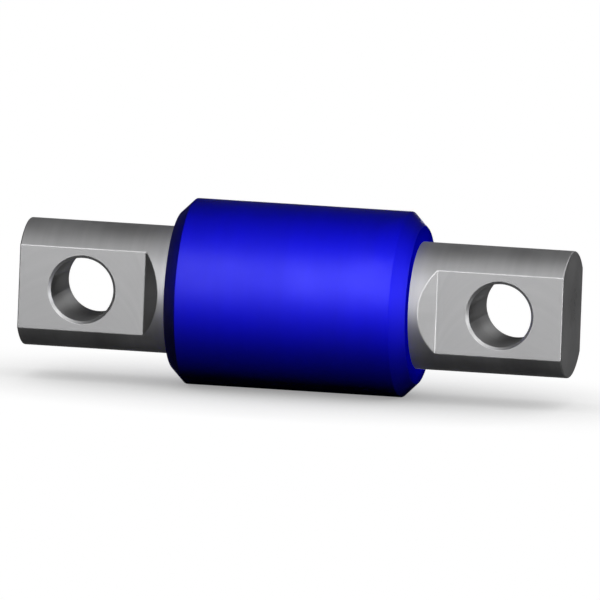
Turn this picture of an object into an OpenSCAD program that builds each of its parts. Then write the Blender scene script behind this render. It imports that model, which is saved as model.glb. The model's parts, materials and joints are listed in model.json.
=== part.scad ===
// Torque rod bushing: a steel bar pin with a moulded polyurethane sleeve.
// The pin lies along X and its bolt holes run along Y. The origin is the middle of the bushing.

/* [Bar pin] */
// Diameter of the round bar
pin_diameter = 41.3; // [39:0.1:46]
// Distance between the centres of the two bolt holes
bolt_spacing = 138.1; // [133:0.1:180]
// Length of each milled end, from the end of the pin to the foot of its run-out
flat_length = 41.7; // [36:0.1:47]
// Thickness across the two milled flats
flat_thickness = 31; // [26:0.1:34]
// Angle at which the milled flats run out to the round bar
run_out_angle = 45; // [35:1:70]
// Radius of the cutter's corner, left at the foot of each run-out
run_out_root_radius = 0.6; // [0.3:0.1:2]
// Edge break around both ends of the pin
end_edge_break = 0.5; // [0.2:0.1:2]
// Edge break along the long edges of the flats
flat_edge_break = 0.25; // [0.1:0.05:1]

/* [Bolt holes] */
// Diameter of the bolt holes
bolt_hole_diameter = 20.6; // [16:0.1:23]
// Chamfer at both mouths of each bolt hole
bolt_hole_chamfer = 0.9; // [0.3:0.1:1.8]

/* [Sleeve] */
// Length of the sleeve along the pin
sleeve_length = 79.8; // [50:0.1:84]
// Outer diameter of the sleeve, a press fit in the eye of the rod
sleeve_diameter = 60.3; // [54:0.1:90]
// Chamfer at both ends of the sleeve
sleeve_chamfer = 4.5; // [1:0.1:5.5]

/* [Hidden] */
$fn = 180;
pin_radius = pin_diameter / 2;
sleeve_radius = sleeve_diameter / 2;
half_flat = flat_thickness / 2;
// Each bolt hole is in the middle of its milled end
hole_x = bolt_spacing / 2;
pin_end_x = hole_x + flat_length / 2;
flat_foot_x = hole_x - flat_length / 2;
// Angle around the pin from the middle of a flat to its long edge
flat_edge_angle = acos(half_flat / pin_radius);
// How far cutters reach past what they cut
over = 2;

// Profile of a ring around the pin: a rectangle whose outer corners are cut at 45 degrees
module ring_profile(inner_radius, outer_radius, length, chamfer) {
    polygon([
        [inner_radius, -length / 2],
        [outer_radius - chamfer, -length / 2],
        [outer_radius, chamfer - length / 2],
        [outer_radius, length / 2 - chamfer],
        [outer_radius - chamfer, length / 2],
        [inner_radius, length / 2]
    ]);
}

// Ring or bar along X
module turned(inner_radius, outer_radius, length, chamfer) {
    rotate([0, 90, 0])
        rotate_extrude()
            ring_profile(inner_radius, outer_radius, length, chamfer);
}

// Side view of what the milling cutter takes away at the +X end
module milled_profile() {
    reach = pin_radius + over;
    past_end = pin_end_x + over;
    root_tangent = run_out_root_radius * tan(run_out_angle / 2);
    polygon([
        [flat_foot_x + root_tangent, half_flat],
        [pin_end_x - end_edge_break, half_flat],
        [past_end, half_flat - end_edge_break - over],
        [past_end, reach],
        [flat_foot_x - (reach - half_flat) / tan(run_out_angle), reach],
        [
            flat_foot_x - root_tangent * cos(run_out_angle),
            half_flat + root_tangent * sin(run_out_angle)
        ]
    ]);
    translate([flat_foot_x + root_tangent, half_flat + run_out_root_radius])
        circle(r = run_out_root_radius);
}

// The two flats of the +X end, with their long edges broken by narrow faces
module milled_end() {
    break_angle = flat_edge_angle / 2;
    break_depth = pin_radius * cos(break_angle) - flat_edge_break * sin(break_angle);
    width = 2 * (pin_radius + over);
    for (side = [0, 180]) {
        rotate([side, 0, 0])
            linear_extrude(height = width, center = true)
                milled_profile();
        for (turn = [-break_angle, break_angle])
            rotate([side + turn, 0, 0])
                translate([flat_foot_x, break_depth, -width / 2])
                    cube([flat_length + over, width, width]);
    }
}

// One bolt hole along Y, with a chamfer at both mouths
module bolt_hole() {
    hole_radius = bolt_hole_diameter / 2;
    rotate([90, 0, 0])
        cylinder(r = hole_radius, h = 2 * (pin_radius + over), center = true);
    for (side = [0, 180])
        rotate([side + 90, 0, 0])
            translate([0, 0, half_flat - bolt_hole_chamfer])
                cylinder(
                    r1 = hole_radius,
                    r2 = hole_radius + bolt_hole_chamfer + over,
                    h = bolt_hole_chamfer + over
                );
}

// Round steel bar, milled flat and drilled at both ends
module bar_pin() {
    color("darkgray")
        difference() {
            turned(0, pin_radius, 2 * pin_end_x, end_edge_break);
            for (end = [0, 1])
                mirror([end, 0, 0]) {
                    milled_end();
                    translate([hole_x, 0, 0])
                        bolt_hole();
                }
        }
}

// Moulded sleeve, bonded to the middle of the bar
module bushing_sleeve() {
    color("mediumblue")
        turned(pin_radius, sleeve_radius, sleeve_length, sleeve_chamfer);
}

bar_pin();
bushing_sleeve();
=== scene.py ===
import json
import math

import bmesh
import bpy
from mathutils import Matrix, Vector


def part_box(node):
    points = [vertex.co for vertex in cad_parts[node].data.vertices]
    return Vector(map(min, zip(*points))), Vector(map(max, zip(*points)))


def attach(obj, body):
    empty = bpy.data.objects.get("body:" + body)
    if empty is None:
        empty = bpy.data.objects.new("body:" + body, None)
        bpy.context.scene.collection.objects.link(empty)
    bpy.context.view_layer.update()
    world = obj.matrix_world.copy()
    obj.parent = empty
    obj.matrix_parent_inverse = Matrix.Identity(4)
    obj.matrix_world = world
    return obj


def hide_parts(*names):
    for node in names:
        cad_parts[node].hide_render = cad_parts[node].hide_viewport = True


# Torque rod bushing: a steel bar pin with a blue polyurethane sleeve moulded on it.
# Everything is in metres, the pin lies along X and the bolt holes run along Y.

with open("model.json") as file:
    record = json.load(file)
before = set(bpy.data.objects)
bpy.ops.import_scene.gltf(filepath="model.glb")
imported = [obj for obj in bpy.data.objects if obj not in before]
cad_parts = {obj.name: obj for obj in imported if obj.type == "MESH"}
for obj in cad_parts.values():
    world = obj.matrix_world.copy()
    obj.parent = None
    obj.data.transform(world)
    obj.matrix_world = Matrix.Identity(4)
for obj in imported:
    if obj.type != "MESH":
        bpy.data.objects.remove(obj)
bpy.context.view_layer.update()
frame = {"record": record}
mounts = {m["name"]: m for m in frame["record"]["mounts"]}
print("frame loaded")


def mm(value):
    return value / 1000


def mountRadius(name):
    return mm(mounts[name]["dims"]["r_mm"])


def mountLength(name):
    return mm(mounts[name]["dims"]["length_mm"])


slack = mm(0.01)                 # how far a face may lie off the plane it belongs to
mergeDistance = mm(0.001)

# what the frame says of the two pieces
pinLow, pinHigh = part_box("bar_pin")
sleeveLow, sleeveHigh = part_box("bushing_sleeve")
pinRadius = pinHigh.y
pinEnd = pinHigh.x
holeX = mounts["bolt_hole_right"]["pos_m"][0]
holeRadius = mountRadius("bolt_hole_right")
halfFlat = mounts["flat_back_right"]["pos_m"][1]
flatFoot = 2 * holeX - pinEnd              # each hole is in the middle of its flat
holeChamfer = halfFlat - mountLength("bolt_hole_right") / 2
sleeveRadius = mountRadius("sleeve_outside")
sleeveEnd = sleeveHigh.x
sleeveChamfer = sleeveEnd - mountLength("sleeve_outside") / 2

barPin = {
    "roundSegments": 288,        # leaves a full facet beside each long edge for its break
    "holeSegments": 144,
    "edgeRadius": mm(0.5),       # every machined edge is broken to this
    "rimRadius": mm(0.12),       # and the hole's rims only just
    "edgeSegments": 4,
    "smallestEdge": math.radians(20),      # shallower edges are only facets of a round
    "overshoot": mm(2),          # how far a cutter reaches past the bar
}

sleeve = {
    "roundSegments": 320,
    "edgeRadius": mm(0.35),
    "edgeSegments": 4,
    "intoBar": mm(0.2),          # the bore is hidden this far inside the bar
}

steel = {
    "light": (0.45, 0.45, 0.455, 1),
    "dark": (0.405, 0.405, 0.41, 1),
    "metallic": 1.0,
    "bandShare": 0.6,            # how much of the tone comes from bands, the rest from single marks
    "touchShare": 0.4,           # how much of the roughness comes from handling
    "touchSize": mm(14),
}

# The four ways the steel was cut: how far apart the marks are, how deep, and how rough it is left.
finishes = {
    "turned": {"spacing": mm(0.45), "depth": mm(0.003), "smooth": 0.50, "rough": 0.60},
    "milled": {"spacing": mm(0.70), "depth": mm(0.004), "smooth": 0.33, "rough": 0.42},
    "faced": {"spacing": mm(0.55), "depth": mm(0.003), "smooth": 0.27, "rough": 0.35},
    "drilled": {"spacing": mm(0.60), "depth": mm(0.006), "smooth": 0.40, "rough": 0.50},
}
cutterRadius = mm(25)            # of the face mill that cut the flats

urethane = {
    "light": (0.003, 0.003, 0.90, 1),
    "dark": (0.002, 0.002, 0.80, 1),
    "smooth": 0.45,
    "rough": 0.53,
    "gloss": {"moulded": 0.3, "trimmed": 0.0},     # the trimmed end faces are dull
    "cloudShare": 0.7,           # how much of the tone comes from cloudy pigment
    "cloudSize": mm(22),
    "spacing": mm(0.8),          # of the marks that the mould's bore leaves
    "depth": mm(0.003),
    "peelSize": mm(1.6),         # of the faint orange peel
    "peelDepth": mm(0.012),
}

# The view was solved from outlines that another script measured in the picture.
view = {
    "azimuth": math.radians(11.31),
    "elevation": math.radians(7.06),
    "roll": math.radians(2.19),
    "width": 0.19416,            # what the picture's width spans at the bushing
    "drop": 0.00077,             # the bushing sits this much above the middle
    "distance": 1.2,
}

# The lamps, from here to the studio, began as fits to the picture's shading, made by other scripts.
# Many of their values were then changed by hand.

# Soft lamps stand round the steel. Each has its azimuth, elevation, width, height and power.
steelLamps = {
    "front": (-11, 9, 0.6, 0.6, 5.65),
    "frontHigh": (-8, 40, 0.6, 0.6, 3.0),
    "edgeLow": (34, -6, 0.3, 0.3, 7.5),        # the three edge lamps draw the bright lines
    "edge": (30, 32, 0.5, 0.5, 6.5),           # along the rounded edges
    "edgeHigh": (25, 50, 0.5, 0.5, 6.0),
    "side": (72, 8, 0.5, 0.5, 5.6),            # lights the right run-out
    "corner": (71, 46, 0.4, 0.4, 3.5),         # and the chamfers of the bolt holes
    "top": (10, 85, 0.8, 0.8, 2.3),
    "left": (-42, -15, 0.5, 0.5, 0.9),
    "arc": (134, 34, 0.4, 0.4, 2.5),           # catches the rounded rim of the right end
    "bores": (174, 8, 0.4, 0.15, 0.3),         # shines through the bolt holes from behind
    "back": (200, -12, 1.0, 0.6, 9.0),         # the back lamps stand low and to the sides,
    "rightBack": (138, -10, 0.6, 0.6, 3.0),    # out of the way of the front view
}

# One small panel stands close to the left end of the pin and lights its end face.
leftPanel = {
    "place": (-0.15, 0.038, -0.015),
    "side": (-1, 0, 0),          # the side that it shines from
    "size": (0.084, 0.07),
    "power": 0.0075,
}

# Two soft lamps give the sheen of the sleeve's front and of its right chamfer.
sleeveSheens = {
    "frontSheen": (-14, 28, 0.7, 1.2, 15.5),
    "chamferSheen": (79, 12, 0.7, 1.0, 4.6),
}

# Rows of small heads with honeycomb grids stand close to the sleeve, so that their light falls away
# round the cylinder. Each row has its elevation and its distance from the pin's axis, where along
# the pin its first and last heads stand and where they aim, how many they are, and their power.
sleeveRows = {
    "low": (14, 0.095, (0.002, 0.078), (-0.115, 0.048), 8, 0.00180),
    "raised": (45, 0.120, (0.033, 0.041), (-0.145, 0.063), 8, 0.00123),
    "back": (166, 0.095, (-0.040, 0.040), (-0.026, 0.026), 7, 0.00105),
    "highBack": (135, 0.065, (-0.032, 0.032), (-0.032, 0.032), 6, 0.0004),
    "backLeft": (180, 0.080, (-0.120, -0.080), (-0.040, -0.010), 3, 0.0016),
}

studio = {
    "floorSize": 6.0,
    "floorColour": 0.1,
    "floorRough": 0.9,
    # The floor's shadow is painted: ambient occlusion darkens its emission round the object, both as
    # the camera sees it and in the object's reflections.
    "floorForGloss": 0.012,      # how bright the floor is in the object's reflections
    "paintedShadowFade": 4.0,            # and how fast that fades under the object
    "paintedShadowReach": 0.06,
    "paintedShadowDepth": 0.7,
    "skyForGloss": 0.022,        # the sky is white to the camera and dimmer to the object
    "skyForLight": 0.004,
    "lampDistance": 1.5,
    "headSize": (0.012, 0.012),
    "headSpread": math.radians(50),
}


# Meshes

def newObject(name, bm):
    mesh = bpy.data.meshes.new(name)
    bm.to_mesh(mesh)
    bm.free()
    piece = bpy.data.objects.new(name, mesh)
    bpy.context.scene.collection.objects.link(piece)
    return piece


def bakeModifiers(piece):
    graph = bpy.context.evaluated_depsgraph_get()
    done = bpy.data.meshes.new_from_object(piece.evaluated_get(graph))
    old = piece.data
    piece.modifiers.clear()
    piece.data = done
    done.name = piece.name
    bpy.data.meshes.remove(old)


def spinProfile(bm, axis, steps):
    profile = list(bm.edges) + list(bm.verts)
    bmesh.ops.spin(
        bm, geom=profile, cent=(0, 0, 0), axis=axis, angle=math.tau, steps=steps, use_merge=True
    )
    bmesh.ops.remove_doubles(bm, verts=bm.verts, dist=mergeDistance)
    bmesh.ops.recalc_face_normals(bm, faces=bm.faces)


def drawProfile(bm, points):
    verts = [bm.verts.new(point) for point in points]
    for pair in zip(verts, verts[1:]):
        bm.edges.new(pair)


def roundBar():
    bm = bmesh.new()
    bmesh.ops.create_cone(
        bm, cap_ends=True, segments=barPin["roundSegments"],
        radius1=pinRadius, radius2=pinRadius, depth=2 * pinEnd,
        matrix=Matrix.Rotation(math.radians(90), 4, "Y"),
    )
    return newObject("barPin", bm)


def flatCutter(end, side):
    over = barPin["overshoot"]
    reach = pinRadius + over
    bm = bmesh.new()
    profile = [
        (flatFoot, halfFlat),
        (pinEnd + over, halfFlat),
        (pinEnd + over, reach),
        (flatFoot - (reach - halfFlat), reach),
    ]
    face = bm.faces.new([bm.verts.new((end * x, side * y, -reach)) for x, y in profile])
    far = bmesh.ops.extrude_face_region(bm, geom=[face])["geom"]
    bmesh.ops.translate(
        bm, vec=(0, 0, 2 * reach), verts=[v for v in far if isinstance(v, bmesh.types.BMVert)]
    )
    bmesh.ops.recalc_face_normals(bm, faces=bm.faces)
    return newObject("flatCutter", bm)


def holeCutter(end):
    over = barPin["overshoot"]
    reach = halfFlat + over
    mouth = holeRadius + holeChamfer + over
    inner = halfFlat - holeChamfer
    bm = bmesh.new()
    drawProfile(bm, [
        (0, -reach, 0), (mouth, -reach, 0), (holeRadius, -inner, 0),
        (holeRadius, inner, 0), (mouth, reach, 0), (0, reach, 0),
    ])
    spinProfile(bm, (0, 1, 0), barPin["holeSegments"])
    bmesh.ops.translate(bm, vec=(end * holeX, 0, 0), verts=bm.verts)
    return newObject("holeCutter", bm)


def cut(piece, cutters):
    for cutter in cutters:
        boolean = piece.modifiers.new("cut", "BOOLEAN")
        boolean.operation = "DIFFERENCE"
        boolean.solver = "EXACT"
        boolean.object = cutter
    bakeModifiers(piece)
    for cutter in cutters:
        bpy.data.objects.remove(cutter)


def sortFaces(bm):
    # which tool made each face, in the order of the finishes: 0 turned, 1 milled, 2 faced, 3 drilled
    for face in bm.faces:
        centre = face.calc_center_median()
        acrossHole = math.hypot(abs(centre.x) - holeX, centre.z)
        if abs(face.normal.x) > 0.95:
            face.material_index = 2
        elif acrossHole < holeRadius + holeChamfer and abs(centre.y) < halfFlat - slack:
            face.material_index = 3
        elif abs(abs(centre.y) - halfFlat) < slack or abs(face.normal.x) > 0.3:
            face.material_index = 1
        else:
            face.material_index = 0


def weighEdges(bm):
    # the bevel's weight gives every edge the same radius, whatever its angle
    weight = bm.edges.layers.float.new("bevel_weight_edge")
    squareEdge = math.tan(math.radians(45))
    for edge in bm.edges:
        angle = edge.calc_face_angle(0)
        if angle < barPin["smallestEdge"]:
            continue
        centre = (edge.verts[0].co + edge.verts[1].co) / 2
        acrossHole = math.hypot(abs(centre.x) - holeX, centre.z)
        radius = barPin["edgeRadius"]
        if acrossHole < holeRadius + holeChamfer + 5 * slack:
            radius = barPin["rimRadius"]
        edge[weight] = math.tan(angle / 2) / squareEdge * radius / barPin["edgeRadius"]


def breakEdges(piece):
    bevel = piece.modifiers.new("edges", "BEVEL")
    bevel.limit_method = "WEIGHT"
    bevel.offset_type = "OFFSET"
    bevel.width = barPin["edgeRadius"]
    bevel.segments = barPin["edgeSegments"]
    bevel.profile = 0.5
    bevel.use_clamp_overlap = False
    normals = piece.modifiers.new("normals", "WEIGHTED_NORMAL")     # the big faces stay flat
    normals.mode = "FACE_AREA"
    normals.keep_sharp = False
    bakeModifiers(piece)


def makeBarPin(materials):
    piece = roundBar()
    cutters = [flatCutter(end, side) for end in (-1, 1) for side in (-1, 1)]
    cut(piece, cutters + [holeCutter(end) for end in (-1, 1)])
    for material in materials:
        piece.data.materials.append(material)
    bm = bmesh.new()
    bm.from_mesh(piece.data)
    bmesh.ops.remove_doubles(bm, verts=bm.verts, dist=mergeDistance)
    sortFaces(bm)
    weighEdges(bm)
    for face in bm.faces:
        face.smooth = True
    bm.to_mesh(piece.data)
    bm.free()
    breakEdges(piece)
    print("bar pin:", len(piece.data.polygons), "faces")
    return piece


def makeSleeve(materials):
    boreRadius = pinRadius - sleeve["intoBar"]
    bm = bmesh.new()
    drawProfile(bm, [
        (-sleeveEnd, boreRadius, 0),
        (-sleeveEnd, sleeveRadius - sleeveChamfer, 0),
        (sleeveChamfer - sleeveEnd, sleeveRadius, 0),
        (sleeveEnd - sleeveChamfer, sleeveRadius, 0),
        (sleeveEnd, sleeveRadius - sleeveChamfer, 0),
        (sleeveEnd, boreRadius, 0),
    ])
    corners = [v for v in bm.verts if len(v.link_edges) == 2]
    bmesh.ops.bevel(
        bm, geom=corners, offset=sleeve["edgeRadius"] * math.tan(math.radians(22.5)),
        offset_type="OFFSET", segments=sleeve["edgeSegments"], profile=0.5,
        affect="VERTICES", material=-1,
    )
    ends = [v for v in bm.verts if len(v.link_edges) == 1]
    bm.edges.new(ends)
    spinProfile(bm, (1, 0, 0), sleeve["roundSegments"])
    for face in bm.faces:
        face.smooth = True
        if abs(face.normal.x) > 0.99:
            face.material_index = 1        # 0 moulded, 1 trimmed
    piece = newObject("mouldedSleeve", bm)
    for material in materials:
        piece.data.materials.append(material)
    print("sleeve:", len(piece.data.polygons), "faces")
    return piece


# Materials

def newMaterial(name):
    material = bpy.data.materials.new(name)
    material.use_nodes = True
    return material, material.node_tree


def addNode(tree, kind, **settings):
    node = tree.nodes.new("ShaderNode" + kind)
    for name, value in settings.items():
        setattr(node, name, value)
    return node


def feed(tree, socket, source):
    # a socket takes either a plain value or another node's output
    if isinstance(source, bpy.types.NodeSocket):
        tree.links.new(source, socket)
    else:
        socket.default_value = source


def calc(tree, operation, *sources):
    node = addNode(tree, "Math", operation=operation)
    for socket, source in zip(node.inputs, sources):
        feed(tree, socket, source)
    return node.outputs[0]


def blend(tree, first, second, share):
    # the share of the first value, and the rest of the second
    rest = calc(tree, "MULTIPLY", second, 1 - share)
    return calc(tree, "MULTIPLY_ADD", first, share, rest)


def noise1D(tree, where, detail):
    node = addNode(tree, "TexNoise", noise_dimensions="1D")
    feed(tree, node.inputs["W"], where)
    node.inputs["Scale"].default_value = 1
    node.inputs["Detail"].default_value = detail
    return node.outputs["Fac"]


def noise3D(tree, where, scale, detail):
    node = addNode(tree, "TexNoise")
    feed(tree, node.inputs["Vector"], where)
    node.inputs["Scale"].default_value = scale
    node.inputs["Detail"].default_value = detail
    return node.outputs["Fac"]


def remap(tree, value, low, high, toLow, toHigh):
    node = addNode(tree, "MapRange")
    for socket, source in zip(node.inputs, (value, low, high, toLow, toHigh)):
        feed(tree, socket, source)
    return node.outputs["Result"]


def mixColours(tree, share, first, second):
    node = addNode(tree, "Mix", data_type="RGBA")
    feed(tree, node.inputs["Factor"], share)
    feed(tree, node.inputs["A"], first)
    feed(tree, node.inputs["B"], second)
    return node.outputs["Result"]


# how the marks of a tool are built up, each pace being so many to one spacing
markPattern = {
    "ridgeShare": 0.4,           # even ridges, and the rest of the height is uneven scratches
    "ridgeSwing": 0.25,
    "scratchPace": 1.7,
    "bandPace": 0.16,            # broader bands, as the feed wanders
}


def makeToolMarks():
    # marks that a tool leaves side by side
    group = bpy.data.node_groups.new("toolMarks", "ShaderNodeTree")
    group.interface.new_socket("Across", in_out="INPUT", socket_type="NodeSocketFloat")
    group.interface.new_socket("Spacing", in_out="INPUT", socket_type="NodeSocketFloat")
    group.interface.new_socket("Height", in_out="OUTPUT", socket_type="NodeSocketFloat")
    group.interface.new_socket("Bands", in_out="OUTPUT", socket_type="NodeSocketFloat")
    given = group.nodes.new("NodeGroupInput")
    result = group.nodes.new("NodeGroupOutput")
    turns = calc(group, "DIVIDE", given.outputs["Across"], given.outputs["Spacing"])
    ridge = calc(group, "SINE", calc(group, "MULTIPLY", turns, math.tau))
    ridge = calc(group, "MULTIPLY_ADD", ridge, markPattern["ridgeSwing"], 0.5)
    scratches = noise1D(group, calc(group, "MULTIPLY", turns, markPattern["scratchPace"]), 3)
    height = blend(group, ridge, scratches, markPattern["ridgeShare"])
    bands = noise1D(group, calc(group, "MULTIPLY", turns, markPattern["bandPace"]), 2)
    group.links.new(height, result.inputs["Height"])
    group.links.new(remap(group, bands, 0.3, 0.7, 0.0, 1.0), result.inputs["Bands"])
    return group


def makeHandling():
    # faint cloudy marks where a surface has been touched and wiped
    group = bpy.data.node_groups.new("handling", "ShaderNodeTree")
    group.interface.new_socket("Place", in_out="INPUT", socket_type="NodeSocketVector")
    group.interface.new_socket("Size", in_out="INPUT", socket_type="NodeSocketFloat")
    group.interface.new_socket("Mask", in_out="OUTPUT", socket_type="NodeSocketFloat")
    given = group.nodes.new("NodeGroupInput")
    result = group.nodes.new("NodeGroupOutput")
    scaled = addNode(group, "VectorMath", operation="SCALE")
    group.links.new(given.outputs["Place"], scaled.inputs[0])
    group.links.new(calc(group, "DIVIDE", 1.0, given.outputs["Size"]), scaled.inputs["Scale"])
    cloud = noise3D(group, scaled.outputs[0], 1, 4)
    group.links.new(remap(group, cloud, 0.35, 0.65, 0.0, 1.0), result.inputs["Mask"])
    return group


def useGroup(tree, group, **sources):
    node = addNode(tree, "Group", node_tree=group)
    for name, source in sources.items():
        feed(tree, node.inputs[name], source)
    return node.outputs


def bump(tree, height, depth, under=None):
    node = addNode(tree, "Bump")
    node.inputs["Distance"].default_value = depth
    feed(tree, node.inputs["Height"], height)
    if under:
        feed(tree, node.inputs["Normal"], under)
    return node.outputs["Normal"]


def acrossMarks(tree, finish, x, y, z):
    # how far a point lies across the marks of each cut
    if finish == "turned":
        return x
    if finish == "drilled":
        return y
    if finish == "faced":
        squares = calc(tree, "ADD", calc(tree, "POWER", y, 2), calc(tree, "POWER", z, 2))
        return calc(tree, "SQRT", squares)
    # a face mill fed up each flat leaves arcs that touch the foot of the run-out
    fromCentre = calc(tree, "SUBTRACT", calc(tree, "ABSOLUTE", x), flatFoot + cutterRadius)
    rise = calc(tree, "SUBTRACT", cutterRadius ** 2, calc(tree, "POWER", fromCentre, 2))
    arc = calc(tree, "SQRT", calc(tree, "MAXIMUM", rise, 0.0))
    return calc(tree, "SUBTRACT", z, arc)


def cutSteel(finish, marks, handling):
    values = finishes[finish]
    material, tree = newMaterial(finish + "Steel")
    shader = tree.nodes["Principled BSDF"]
    place = addNode(tree, "TexCoord").outputs["Object"]
    split = addNode(tree, "SeparateXYZ")
    feed(tree, split.inputs[0], place)
    across = acrossMarks(tree, finish, *split.outputs)
    cut = useGroup(tree, marks, Across=across, Spacing=values["spacing"])
    touched = useGroup(tree, handling, Place=place, Size=steel["touchSize"])["Mask"]
    tone = blend(tree, cut["Bands"], cut["Height"], steel["bandShare"])
    colour = mixColours(tree, tone, steel["dark"], steel["light"])
    rough = blend(tree, touched, cut["Height"], steel["touchShare"])
    rough = remap(tree, rough, 0.2, 0.8, values["smooth"], values["rough"])
    feed(tree, shader.inputs["Base Color"], colour)
    feed(tree, shader.inputs["Roughness"], rough)
    feed(tree, shader.inputs["Normal"], bump(tree, cut["Height"], values["depth"]))
    shader.inputs["Metallic"].default_value = steel["metallic"]
    return material


def blueUrethane(finish, marks, handling):
    material, tree = newMaterial(finish + "Urethane")
    shader = tree.nodes["Principled BSDF"]
    place = addNode(tree, "TexCoord").outputs["Object"]
    split = addNode(tree, "SeparateXYZ")
    feed(tree, split.inputs[0], place)
    mould = useGroup(tree, marks, Across=split.outputs["X"], Spacing=urethane["spacing"])
    cloudy = useGroup(tree, handling, Place=place, Size=urethane["cloudSize"])["Mask"]
    peel = noise3D(tree, place, 1 / urethane["peelSize"], 2)
    pigment = blend(tree, cloudy, mould["Bands"], urethane["cloudShare"])
    colour = mixColours(tree, pigment, urethane["dark"], urethane["light"])
    rough = remap(tree, cloudy, 0.0, 1.0, urethane["rough"], urethane["smooth"])
    normal = bump(tree, peel, urethane["peelDepth"])
    normal = bump(tree, mould["Height"], urethane["depth"], normal)
    feed(tree, shader.inputs["Base Color"], colour)
    feed(tree, shader.inputs["Roughness"], rough)
    feed(tree, shader.inputs["Normal"], normal)
    shader.inputs["Specular IOR Level"].default_value = urethane["gloss"][finish]
    return material


# Studio

def makeFloor():
    bm = bmesh.new()
    bmesh.ops.create_grid(bm, x_segments=1, y_segments=1, size=studio["floorSize"] / 2)
    bmesh.ops.translate(bm, vec=(0, 0, -sleeveRadius), verts=bm.verts)
    floor = newObject("floor", bm)
    material, tree = newMaterial("paleFloor")
    shader = tree.nodes["Principled BSDF"]
    shader.inputs["Base Color"].default_value = (*[studio["floorColour"]] * 3, 1)
    shader.inputs["Roughness"].default_value = studio["floorRough"]
    shader.inputs["Specular IOR Level"].default_value = 0
    shader.inputs["Emission Color"].default_value = (1, 1, 1, 1)
    rays = addNode(tree, "LightPath")
    # Painted shadow: ambient occlusion darkens the floor's white emission near the object, since the
    # lamps cast no shadow on the floor.
    paintedShadow = addNode(tree, "AmbientOcclusion", samples=8)
    paintedShadow.inputs["Distance"].default_value = studio["paintedShadowReach"]
    paintedLightShare = paintedShadow.outputs["AO"]
    pale = remap(tree, paintedLightShare, 0.0, 1.0, 1 - studio["paintedShadowDepth"], 1.0)
    seen = calc(tree, "MULTIPLY", rays.outputs["Is Camera Ray"], pale)
    # In reflections the painted shadow darkens faster, so the undersides mirror a darker floor.
    faded = calc(tree, "POWER", paintedLightShare, studio["paintedShadowFade"])
    mirrored = calc(tree, "MULTIPLY", rays.outputs["Is Glossy Ray"], faded)
    mirrored = calc(tree, "MULTIPLY", mirrored, studio["floorForGloss"])
    feed(tree, shader.inputs["Emission Strength"], calc(tree, "ADD", seen, mirrored))
    floor.data.materials.append(material)


def makeSky():
    world = bpy.data.worlds.new("studio")
    bpy.context.scene.world = world
    world.use_nodes = True
    tree = world.node_tree
    rays = addNode(tree, "LightPath")
    glossy = rays.outputs["Is Glossy Ray"]
    strength = remap(tree, glossy, 0.0, 1.0, studio["skyForLight"], studio["skyForGloss"])
    strength = calc(tree, "MAXIMUM", strength, rays.outputs["Is Camera Ray"])
    sky = tree.nodes["Background"]
    sky.inputs["Color"].default_value = (1, 1, 1, 1)
    feed(tree, sky.inputs["Strength"], strength)


def towards(azimuth, elevation):
    a = math.radians(azimuth)
    e = math.radians(elevation)
    return Vector((math.sin(a) * math.cos(e), -math.cos(a) * math.cos(e), math.sin(e)))


def makeLamp(name, size, power, place, direction, receivers, spread=math.pi):
    lamp = bpy.data.lights.new(name, "AREA")
    lamp.shape = "RECTANGLE"
    lamp.size, lamp.size_y = size
    lamp.energy = power
    lamp.spread = spread
    holder = bpy.data.objects.new(name, lamp)
    holder.location = place
    holder.rotation_euler = direction.to_track_quat("Z", "Y").to_euler()
    holder.visible_camera = False
    holder.light_linking.receiver_collection = receivers
    holder.light_linking.blocker_collection = receivers
    bpy.context.scene.collection.objects.link(holder)
    return holder


def litGroup(name, piece):
    group = bpy.data.collections.new(name)
    group.objects.link(piece)
    return group


def makeSoftLamp(name, values, receivers):
    azimuth, elevation, width, height, power = values
    direction = towards(azimuth, elevation)
    place = direction * studio["lampDistance"]
    return makeLamp(name, (width, height), power, place, direction, receivers)


def makeRow(name, values, receivers):
    elevation, distance, stands, aims, heads, power = values
    for i in range(heads):
        share = i / (heads - 1)
        place = towards(0, elevation) * distance
        place.x = stands[0] + (stands[1] - stands[0]) * share
        aim = Vector((aims[0] + (aims[1] - aims[0]) * share, 0, 0))
        head = makeLamp(
            name, studio["headSize"], power, place, place - aim, receivers, studio["headSpread"]
        )
        head.visible_glossy = place.y > 0      # only the heads behind give a sheen of their own


def makeLamps(pinPiece, sleevePiece):
    forPin = litGroup("litBySteelLamps", pinPiece)
    forSleeve = litGroup("litBySleeveLamps", sleevePiece)
    for name, values in steelLamps.items():
        makeSoftLamp(name, values, forPin)
    makeLamp(
        "leftPanel", leftPanel["size"], leftPanel["power"], leftPanel["place"],
        Vector(leftPanel["side"]), forPin,
    )
    for name, values in sleeveRows.items():
        makeRow(name, values, forSleeve)
    for name, values in sleeveSheens.items():
        sheen = makeSoftLamp(name, values, forSleeve)
        sheen.visible_diffuse = False


def makeCamera():
    data = bpy.data.cameras.new("camera")
    data.type = "ORTHO"
    data.ortho_scale = view["width"]
    camera = bpy.data.objects.new("camera", data)
    turn = (
        Matrix.Rotation(view["azimuth"], 4, "Z")
        @ Matrix.Rotation(math.radians(90) - view["elevation"], 4, "X")
        @ Matrix.Rotation(view["roll"], 4, "Z")
    )
    place = turn @ Vector((0, -view["drop"], view["distance"]))
    camera.matrix_world = Matrix.Translation(place) @ turn
    bpy.context.scene.collection.objects.link(camera)
    bpy.context.scene.camera = camera


makeCamera()
toolMarks = makeToolMarks()
handlingMarks = makeHandling()
print("marks ready")

steels = [cutSteel(finish, toolMarks, handlingMarks) for finish in finishes]
pinPiece = makeBarPin(steels)
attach(pinPiece, "root")
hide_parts("bar_pin")

urethanes = [blueUrethane(finish, toolMarks, handlingMarks) for finish in urethane["gloss"]]
sleevePiece = makeSleeve(urethanes)
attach(sleevePiece, "root")
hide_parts("bushing_sleeve")

makeSky()
makeFloor()
makeLamps(pinPiece, sleevePiece)
print("studio ready")

bpy.context.scene.view_settings.view_transform = "Standard"
